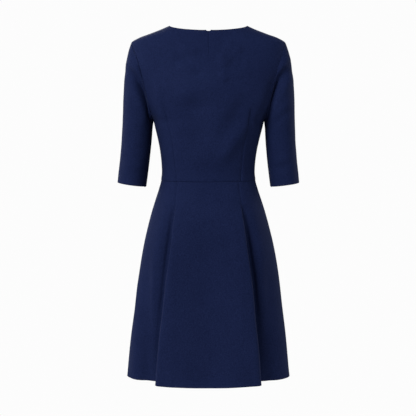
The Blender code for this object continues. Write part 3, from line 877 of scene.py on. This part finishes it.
def skirtHalf(side, z):
    width, depth = along(body, "halfWidth", z), along(body, side, z)
    squareness = along(body, "squareness", z)
    drop = np.clip((dress["pleatOpen"] - z) / (dress["pleatOpen"] - dress["hem"]), 0, 1)
    opening = drop ** skirt["pleatSpread"]
    edge = np.arcsin((along(pleatLine, "edgeX", z) / width) ** (squareness / 2))
    reach = np.hypot(width * np.cos(edge), depth * np.sin(edge))

    def mix(low, high):
        return low + (high - low) * opening

    offsets = zip(pleatFold["outWaist"], pleatFold["outHem"])
    foldAngles = [edge + mix(a, b) * mm / reach for a, b in offsets]
    half = np.clip(4 * drop * (1 - drop), 0, 1)
    foldRises = [
        (mix(a, b) + half * c) * mm
        for a, b, c in zip(pleatFold["riseWaist"], pleatFold["riseHem"], pleatFold["riseMid"])
    ]
    count = skirt["panelColumns"]
    middle = skirt["centreRise"] * mm * opening
    angles = [foldAngles[0] * i / count for i in range(count)]
    rises = [middle + (foldRises[0] - middle) * (i / count) ** 2 for i in range(count)]
    angles += foldAngles
    rises += foldRises
    for i in range(1, count + 1):
        angles.append(foldAngles[-1] + (math.pi / 2 - foldAngles[-1]) * i / count)
        rises.append(foldRises[-1] * (1 - i / count) ** skirt["sideSettle"])
    angles, rises = np.array(angles), np.array(rises)
    weights = splineWeights(len(angles), skirt["samples"])
    angle, rise = weights @ angles, weights @ rises
    across = np.sin(np.clip(angle, 0, math.pi / 2))
    deep = np.cos(np.clip(angle, 0, math.pi / 2))
    x = width * across ** (2 / squareness)
    # the curve is eased at the centre line, where a superellipse would leave a ridge
    soft = skirt["centreSoft"]
    ratio = (np.sqrt((x / width) ** 2 + soft**2) - soft) / (math.sqrt(1 + soft**2) - soft)
    y = depth * np.clip(1 - ratio**squareness, 0, 1) ** (1 / squareness)
    normal = np.stack([across / width, deep / depth])
    normal /= np.linalg.norm(normal, axis=0)
    return np.stack([x + normal[0] * rise, y + normal[1] * rise, np.broadcast_to(z, x.shape)], axis=-1)


def makeSkirt(side):
    sign = 1 if side == "back" else -1
    z = np.concatenate([
        dress["waist"] - np.array([0.0, 1.2, 2.4]) * mm,
        np.linspace(dress["waist"] - 5 * mm, dress["hem"] + 20 * mm, skirt["rows"]),
        dress["hem"] + np.array(stitchLines(skirt["stitch"])[::-1]) * mm,
        dress["hem"] + np.array([11, 7.5, 4.5, 2.4, 1.2, 0.0]) * mm,
    ])
    half = skirtHalf(side, z).transpose(1, 0, 2)
    half[..., 1] *= sign
    grid = np.concatenate([half[:, ::-1] * np.array([-1, 1, 1]), half[:, 1:]], axis=1)[::-1]
    centre = np.array([0, 0, -0.65])
    normals = facingOut(grid, centre)
    x, heights = grid[..., 0], grid[..., 2]
    inner = edgeFade(grid, ("top",), 0.030) * edgeFade(grid, ("left", "right"), 0.020)
    rise = creaseField(x, heights, skirtCreases[side]) * inner
    # the free cloth below the hips is a little less even than the cloth above
    uneven = skirt["uneven"] + skirt["unevenLow"] * smooth((-0.45 - heights) / 0.3)
    rise += uneven * mm * unevenness(grid, 0.055, 1.9 * sign) * inner
    rise -= stitchDint(heights - dress["hem"] - skirt["stitch"] * mm, 0.28)
    grid = settle(grid + normals * rise[..., None])
    # the middle of the hem hangs a little lower
    middle = np.exp(-((grid[..., 0] / 0.085) ** 2))
    grid[..., 2] -= skirt["hemHang"] * mm * middle * smooth((-0.60 - grid[..., 2]) / 0.30)
    normals = facingOut(grid, centre)
    turned = {"left": 9 * mm, "right": 9 * mm, "top": 10 * mm, "bottom": skirt["hemTurn"] * mm}
    return turnEdges(grid, normals, turned, dress["fold"])


for side, name in (("back", "backSkirt"), ("front", "frontSkirt")):
    piece = clothPiece(name, "skirt_" + side, makeSkirt(side))

# the concealed zip lies flat behind the slit, in mm: two tapes, the coils between them, the slider
backZip = {
    "tapeSteps": (0.15, 2.0, 5.5),  # from a tape's inner edge to its outer one
    "tapeThick": 0.5,
    "gap": 2.3,  # from the outer surface of the back to the tape
    "top": -0.0185,
    "end": -0.096,
    "coilThread": 0.275,  # radius of the coil's thread
    "coilOut": 1.25,  # each coil's distance from the middle
    "coilHalf": (1.0, 0.42),  # half width and half depth of a coil
    "coilBehind": 0.62,
    "coilStart": 8.0,
    "turnsPerCm": 9,
    "sliderDown": 4.5,
    "sliderBehind": 1.7,
    # middle, half size and roundness of the slider's body, its neck and its pull tab
    "sliderParts": (
        ((0, 0, 0), (3.1, 1.1, 3.75), 0.45),
        ((0, -1.4, 0.6), (0.9, 0.8, 2.4), 0.4),
        ((0, -2.1, -8.0), (1.7, 0.35, 8.5), 0.3),
    ),
    "colour": (0.0050, 0.0085, 0.0300),
    "coilColour": (0.0035, 0.0055, 0.0180),
    "metalColour": (0.0050, 0.0080, 0.0260),
}


def plainMaterial(name, colour, rough, specular):
    material = bpy.data.materials.new(name)
    material.use_nodes = True
    shader = material.node_tree.nodes["Principled BSDF"]
    shader.inputs["Base Color"].default_value = (*colour, 1)
    shader.inputs["Roughness"].default_value = rough
    shader.inputs["Specular IOR Level"].default_value = specular
    return material


def zipPlace(x, z, deep):
    # a point behind the outer surface of the back
    x, z = np.broadcast_arrays(np.atleast_1d(x), np.atleast_1d(z))
    point = settle(bodyPoint(x, z, "back")[None])[0]
    point[:, 1] -= deep
    return point


def meshFrom(name, verts, faces, material):
    mesh = bpy.data.meshes.new(name)
    mesh.from_pydata([tuple(v) for v in verts], [], faces)
    mesh.materials.append(material)
    mesh.shade_smooth()
    return mesh


def gridFaces(rows, columns, start=0, closed=False):
    faces = []
    for i in range(rows - 1):
        for j in range(columns if closed else columns - 1):
            k = (j + 1) % columns
            faces.append((start + i * columns + j, start + i * columns + k,
                          start + (i + 1) * columns + k, start + (i + 1) * columns + j))
    return faces


def tapeMesh(sign, heights, start):
    # a tape, as a thin closed strip
    deep, thick = backZip["gap"] * mm, backZip["tapeThick"] * mm
    steps = backZip["tapeSteps"]
    section = [(step, 0) for step in steps] + [(step, thick) for step in steps[::-1]]
    verts = [zipPlace(sign * x * mm, z, deep + into)[0] for z in heights for x, into in section]
    faces = gridFaces(len(heights), len(section), start, closed=True)
    last = start + (len(heights) - 1) * len(section)
    faces.append(tuple(range(start, start + len(section)))[::-1])
    faces.append(tuple(range(last, last + len(section))))
    return verts, [face[::-1] for face in faces] if sign > 0 else faces


def coilMesh(sign, heights, start):
    # the coil, a helix of thin thread along the middle of the zip
    coilTop = backZip["top"] - backZip["coilStart"] * mm
    length = coilTop - backZip["end"]
    turnCount = length * 100 * backZip["turnsPerCm"]
    count, around = int(turnCount * 10), 6
    behind = (backZip["gap"] + backZip["tapeThick"] + backZip["coilBehind"]) * mm
    middle = zipPlace(sign * backZip["coilOut"] * mm, heights, behind)
    halfWide, halfDeep = backZip["coilHalf"]
    verts = []
    for i in range(count):
        share = i / (count - 1)
        angle = 2 * math.pi * turnCount * share
        z = coilTop - length * share
        y = np.interp(-z, -heights, middle[:, 1])
        x = sign * (backZip["coilOut"] + halfWide * math.cos(angle)) * mm
        centre = np.array([x, y + halfDeep * mm * math.sin(angle), z])
        for k in range(around):
            turn = 2 * math.pi * k / around
            out = math.cos(turn)
            offset = np.array([math.cos(angle) * out, math.sin(angle) * out, math.sin(turn)])
            verts.append(centre + backZip["coilThread"] * mm * offset)
    return verts, gridFaces(count, around, start, closed=True)


def makeZip():
    heights = np.linspace(backZip["top"], backZip["end"], 60)
    verts, faces, kinds = [], [], []
    for sign in (1, -1):
        for kind, make in enumerate((tapeMesh, coilMesh)):
            newVerts, newFaces = make(sign, heights, len(verts))
            verts += newVerts
            faces += newFaces
            kinds += [kind] * len(newFaces)
    tape = plainMaterial("zipTape", backZip["colour"], 0.85, 0.08)
    mesh = meshFrom("backZip", verts, faces, tape)
    mesh.materials.append(plainMaterial("zipCoil", backZip["coilColour"], 0.5, 0.25))
    for polygon, kind in zip(mesh.polygons, kinds):
        polygon.material_index = kind
    whole = bpy.data.objects.new("backZip", mesh)
    scene.collection.objects.link(whole)
    return whole


def makeSlider():
    # a small rounded body over the coils, with a neck and a slim pull tab hanging from it
    behind = (backZip["gap"] + backZip["sliderBehind"]) * mm
    base = zipPlace(0.0, backZip["top"] - backZip["sliderDown"] * mm, behind)[0]
    levels, around = 17, 24
    verts, faces = [], []
    for offset, half, roundness in backZip["sliderParts"]:

        def soft(value):
            return math.copysign(abs(value) ** roundness, value)

        start = len(verts)
        for i in range(levels):
            up = -math.pi / 2 + math.pi * i / (levels - 1)
            for k in range(around):
                turn = 2 * math.pi * k / around
                level = soft(math.cos(up))
                across, into = level * soft(math.cos(turn)), level * soft(math.sin(turn))
                point = np.array([across, into, soft(math.sin(up))])
                verts.append(base + (np.array(offset) + np.array(half) * point) * mm)
        faces += gridFaces(levels, around, start, closed=True)
    enamel = plainMaterial("sliderEnamel", backZip["metalColour"], 0.4, 0.4)
    mesh = meshFrom("zipSlider", verts, faces, enamel)
    whole = bpy.data.objects.new("zipSlider", mesh)
    scene.collection.objects.link(whole)
    return whole


for zipPiece in (makeZip(), makeSlider()):
    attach(zipPiece, "root")
    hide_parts("back_zip")
print("zip made")

studio = {
    "floor": -1.45,
    "floorGrey": 0.86,
    "floorClear": (0.5, 1.6),  # the floor fades out between these distances from the middle
    "white": 0.975,
    "surround": 0.13,
    "lightsAim": -0.45,
    "camera": 3.0,
    "elevation": 5.0,
    "aim": -0.4635,
    "lens": 101,
}

floorMaterial = bpy.data.materials.new("paleFloor")
floorMaterial.use_nodes = True
nodes, links = floorMaterial.node_tree.nodes, floorMaterial.node_tree.links
floorShader = nodes["Principled BSDF"]
floorShader.inputs["Base Color"].default_value = (*[studio["floorGrey"]] * 3, 1)
floorShader.inputs["Roughness"].default_value = 0.9
clear = nodes.new("ShaderNodeBsdfTransparent")
blend = nodes.new("ShaderNodeMixShader")
where = nodes.new("ShaderNodeTexCoord")
far = nodes.new("ShaderNodeVectorMath")
far.operation = "LENGTH"
ease = nodes.new("ShaderNodeMapRange")
ease.interpolation_type = "SMOOTHSTEP"
ease.inputs["From Min"].default_value, ease.inputs["From Max"].default_value = studio["floorClear"]
links.new(where.outputs["Object"], far.inputs[0])
links.new(far.outputs["Value"], ease.inputs["Value"])
links.new(ease.outputs["Result"], blend.inputs["Fac"])
links.new(floorShader.outputs["BSDF"], blend.inputs[1])
links.new(clear.outputs["BSDF"], blend.inputs[2])
links.new(blend.outputs["Shader"], nodes["Material Output"].inputs["Surface"])

bpy.ops.mesh.primitive_circle_add(vertices=96, radius=40, fill_type="NGON", location=(0, 0, studio["floor"]))
floor = bpy.context.object
floor.name = "floor"
floor.data.materials.append(floorMaterial)

# a white surround, which lights the cloth less than it shows
world = bpy.data.worlds.new("studioWorld")
world.use_nodes = True
nodes, links = world.node_tree.nodes, world.node_tree.links
background = nodes["Background"]
background.inputs["Color"].default_value = (1, 1, 1, 1)
rays = nodes.new("ShaderNodeLightPath")
strength = nodes.new("ShaderNodeMapRange")
strength.inputs["To Min"].default_value = studio["surround"]
strength.inputs["To Max"].default_value = studio["white"]
links.new(rays.outputs["Is Camera Ray"], strength.inputs["Value"])
links.new(strength.outputs["Result"], background.inputs["Strength"])
scene.world = world


def softbox(name, place, size, power):
    lamp = bpy.data.lights.new(name, "AREA")
    lamp.shape = "RECTANGLE"
    lamp.size, lamp.size_y = size
    lamp.energy = power
    box = bpy.data.objects.new(name, lamp)
    box.location = place
    aim = Vector((0, 0, studio["lightsAim"])) - Vector(place)
    box.rotation_mode = "QUATERNION"
    box.rotation_quaternion = aim.to_track_quat("-Z", "Y")
    scene.collection.objects.link(box)


# place, size and power of each softbox
lights = {
    "keyLight": ((1.99, 2.84, 1.55), (1.7, 1.9), 145),
    "fillLight": ((-2.66, 2.66, 0.92), (1.8, 1.8), 20),
    "rightLight": ((-3.85, 0.82, 0.24), (1.6, 1.8), 28),
    "leftLight": ((3.76, 0.0, 0.92), (1.6, 1.8), 42),
    "leftRim": ((3.28, -2.05, 0.59), (1.4, 1.8), 50),
    "rightRim": ((-3.28, -2.05, 0.59), (1.4, 1.8), 58),
    "frontLight": ((1.18, -3.26, 1.55), (1.8, 1.8), 75),
}
for name, (place, size, power) in lights.items():
    softbox(name, place, size, power)

camera = bpy.data.cameras.new("camera")
camera.lens, camera.sensor_width = studio["lens"], 36
camera.shift_x = -0.0014
cameraObject = bpy.data.objects.new("camera", camera)
rise = math.radians(studio["elevation"])
back, up = studio["camera"] * math.cos(rise), studio["camera"] * math.sin(rise)
cameraObject.location = (0, back, studio["aim"] + up)
toObject = Vector((0, 0, studio["aim"])) - cameraObject.location
cameraObject.rotation_mode = "QUATERNION"
cameraObject.rotation_quaternion = toObject.to_track_quat("-Z", "Y")
scene.collection.objects.link(cameraObject)
scene.camera = cameraObject
scene.view_settings.view_transform = "Standard"
scene.view_settings.look = "None"
print("studio ready")

bpy.context.view_layer.update()
